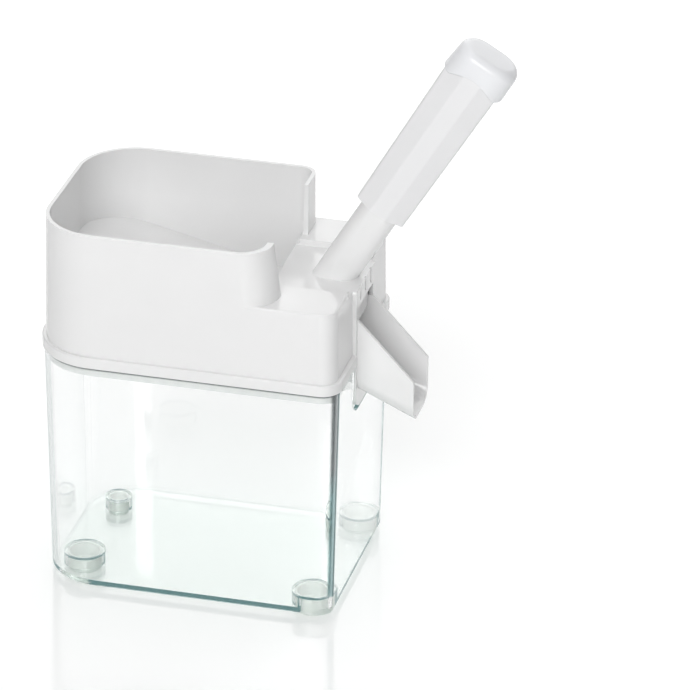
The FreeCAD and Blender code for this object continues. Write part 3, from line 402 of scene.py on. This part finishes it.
# Skirt tabs
# Thin raised pads on the frame's skirt, two at the front and two at the back.
# They are moulded with it, and centre the head in the clear box.
tab_width, tab_thickness, tab_height = 3.2 * MM, 0.3 * MM, 4.4 * MM
tab_level, tab_radius = 124.4 * MM, 0.1 * MM
tabs = bmesh.new()
for y in (-54.4 * MM, 54.4 * MM):
    for x in (-75.0 * MM, 16.6 * MM):
        block = Matrix.Translation((x, y, tab_level)) @ Matrix.Diagonal((tab_width, tab_thickness, tab_height,
                                                                         1.0))
        made = bmesh.ops.create_cube(tabs, size=1.0, matrix=block)["verts"]
        edges = list({edge for vert in made for edge in vert.link_edges})
        bmesh.ops.bevel(tabs, geom=edges, offset=tab_radius, affect="EDGES", segments=2, profile=0.5,
                        material=-1)
pads = piece("skirt_tabs", tabs, white_abs)
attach(pads, "head")


# Seal
# A soft silicone disc with a hole and crossed slits, moulded flat and clamped in its holder under the tube.
# Silicone is warmer and duller than the ABS round it, because its mould is blasted.
silicone = moulding("silicone", "#E9E8E2", "#DEDDD6", 0.45, 0.1)
dress("pit_seal", silicone)


# Rod, pin and screws
# The rod and the pin are drawn stainless wire, the collar is pressed on the rod and the screws are turned.
# Drawing leaves scores finer than 0.1 mm, drawn here as patches of 2.5 mm, which shine more or less brightly.
drawn_steel = empty_material("drawn_steel")
tree = drawn_steel.node_tree
score_size = 2.5 * MM
place = add(tree, "ShaderNodeTexCoord")
scores = add(tree, "ShaderNodeTexNoise", {"Scale": 1 / score_size, "Detail": 3.0},
             {"Vector": place.outputs["Object"]})
gloss = add(tree, "ShaderNodeMapRange", {"To Min": 0.18, "To Max": 0.34}, {"Value": scores.outputs["Fac"]})
metal = add(tree, "ShaderNodeBsdfPrincipled", {"Base Color": colour("#C4C4C6"), "Metallic": 1.0},
            {"Roughness": gloss.outputs[0]})
add(tree, "ShaderNodeOutputMaterial", links={0: metal.outputs[0]})
for name in ("plunger_rod", "stoning_pin", "spring_collar", "cap_screw",
             "frame_screw_1", "frame_screw_2", "frame_screw_3", "frame_screw_4"):
    dress(name, drawn_steel)


# Return spring
# Wound from 1.2 mm spring wire, with its end turns closed flat against the seat and the collar.
# It stands in the tilted guide tube. The real one shortens to about three fifths as the handle is pressed
# home; here it is drawn at rest.
tilt = math.radians(31.0)
axis = Vector((math.sin(tilt), 0.0, math.cos(tilt)))
foot_of_axis = Vector((27.484 * MM, 0.0, 167.0 * MM))
wire, winding = 1.2 * MM, 4.6 * MM
spring_start, spring_end = -8.0 * MM, 78.7 * MM
closed_turns, open_turns, steps_a_turn = 2, 22, 20
pitch = (spring_end - spring_start - wire - 2 * closed_turns * wire) / open_turns
coil = bmesh.new()
upended = Matrix.Translation((winding, 0.0, 0.0)) @ Matrix.Rotation(math.radians(90.0), 4, "X")
ring = bmesh.ops.create_circle(coil, cap_ends=False, radius=wire / 2, segments=10, matrix=upended)["verts"]
last = ring + list({edge for vert in ring for edge in vert.link_edges})
first_ring = [item for item in last if isinstance(item, bmesh.types.BMEdge)]
for turns, rise in ((closed_turns, wire), (open_turns, pitch), (closed_turns, wire)):
    last = bmesh.ops.spin(coil, geom=last, cent=(0.0, 0.0, 0.0), axis=(0.0, 0.0, 1.0),
                          dvec=(0.0, 0.0, rise / steps_a_turn), angle=math.tau * turns,
                          steps=turns * steps_a_turn)["geom_last"]
last_ring = [item for item in last if isinstance(item, bmesh.types.BMEdge)]
bmesh.ops.edgeloop_fill(coil, edges=first_ring)
bmesh.ops.edgeloop_fill(coil, edges=last_ring)
first_centre = Matrix.Translation(foot_of_axis + axis * (spring_start + wire / 2))
bmesh.ops.transform(coil, matrix=first_centre @ axis.to_track_quat("Z", "Y").to_matrix().to_4x4(),
                    verts=coil.verts)
spring = piece("spring_coil", coil, drawn_steel)
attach(spring, "head")
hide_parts("return_spring")
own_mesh(spring)


# Grip
# A hollow sleeve of white PP that slides over the guide tube, injection-moulded in one piece.
# Its mould is finely blasted, so it is satin where the ABS is glossy, and it shows no mirrored edges.
satin_pp = moulding("satin_pp", "#EDEDEE", "#E9E9EA", 0.42, 0.12)
dress("grip_sleeve", satin_pp)


# Push knob
# A hollow cap over the grip's upper end, moulded in one piece and screwed on from above.
# Its lower edge is arched at the front and the back, and its top edge is generously rounded.
knob_width, knob_depth, knob_height, knob_wall = 33.3 * MM, 25.0 * MM, 17.2 * MM, 1.5 * MM
corner_radius = 0.47 * knob_depth
top_narrowing, top_thinning, top_shift, top_radius = 0.955, 0.94, 0.7 * MM, 5.0 * MM
arch_height, arch_half_width, arch_step = 5.2 * MM, 0.4 * knob_width, 1.8 * MM
knob_along, knob_outward = 131.6 * MM, 0.6 * MM
# ABS with a little blue pigment, from a mould less polished than the head's: cooler and softer in its shine.
bluish_abs = moulding("bluish_abs", "#EFF0F2", "#EAEBEE", 0.22, 0.04)

cap = bmesh.new()
block = Matrix.Translation((0.0, 0.0, knob_height / 2)) @ Matrix.Diagonal((knob_width, knob_depth,
                                                                           knob_height, 1.0))
bmesh.ops.create_cube(cap, size=1.0, matrix=block)
corners = [edge for edge in cap.edges if abs(edge.verts[0].co.z - edge.verts[1].co.z) > knob_height / 2]
bmesh.ops.bevel(cap, geom=corners, offset=corner_radius, affect="EDGES", segments=12, profile=0.5,
                material=-1)
for vert in cap.verts:
    if vert.co.z > knob_height / 2:
        vert.co.x = vert.co.x * top_narrowing + top_shift
        vert.co.y *= top_thinning
bottom = min(cap.faces, key=lambda face: face.calc_center_median().z)
bmesh.ops.delete(cap, geom=[bottom], context="FACES_ONLY")
lid = max(cap.faces, key=lambda face: face.calc_center_median().z)
bmesh.ops.bevel(cap, geom=list(lid.edges), offset=top_radius, affect="EDGES", segments=8, profile=0.5,
                material=-1)
for step in range(-2, 3):
    bmesh.ops.bisect_plane(cap, geom=cap.verts[:] + cap.edges[:] + cap.faces[:],
                           plane_co=(step * arch_step, 0.0, 0.0), plane_no=(1.0, 0.0, 0.0))
for vert in cap.verts:
    if vert.co.z < 0.01 * MM:
        vert.co.z += arch_height * max(0.0, 1.0 - (vert.co.x / arch_half_width) ** 2)
bmesh.ops.remove_doubles(cap, verts=cap.verts, dist=0.01 * MM)
outward = Vector((math.cos(tilt), 0.0, -math.sin(tilt)))
knob_place = Matrix.Translation(foot_of_axis + axis * knob_along + outward * knob_outward)
bmesh.ops.transform(cap, verts=cap.verts, matrix=knob_place @ Matrix.Rotation(tilt, 4, "Y"))
knob = piece("knob_cap", cap, bluish_abs)
wall = knob.modifiers.new("wall", "SOLIDIFY")
wall.thickness = knob_wall
wall.offset = -1.0
softened = knob.modifiers.new("softened", "BEVEL")
softened.width = 0.4 * MM
softened.segments = 2
softened.limit_method = "ANGLE"
softened.angle_limit = math.radians(50.0)
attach(knob, "plunger")
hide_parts("press_knob")


low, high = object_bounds()
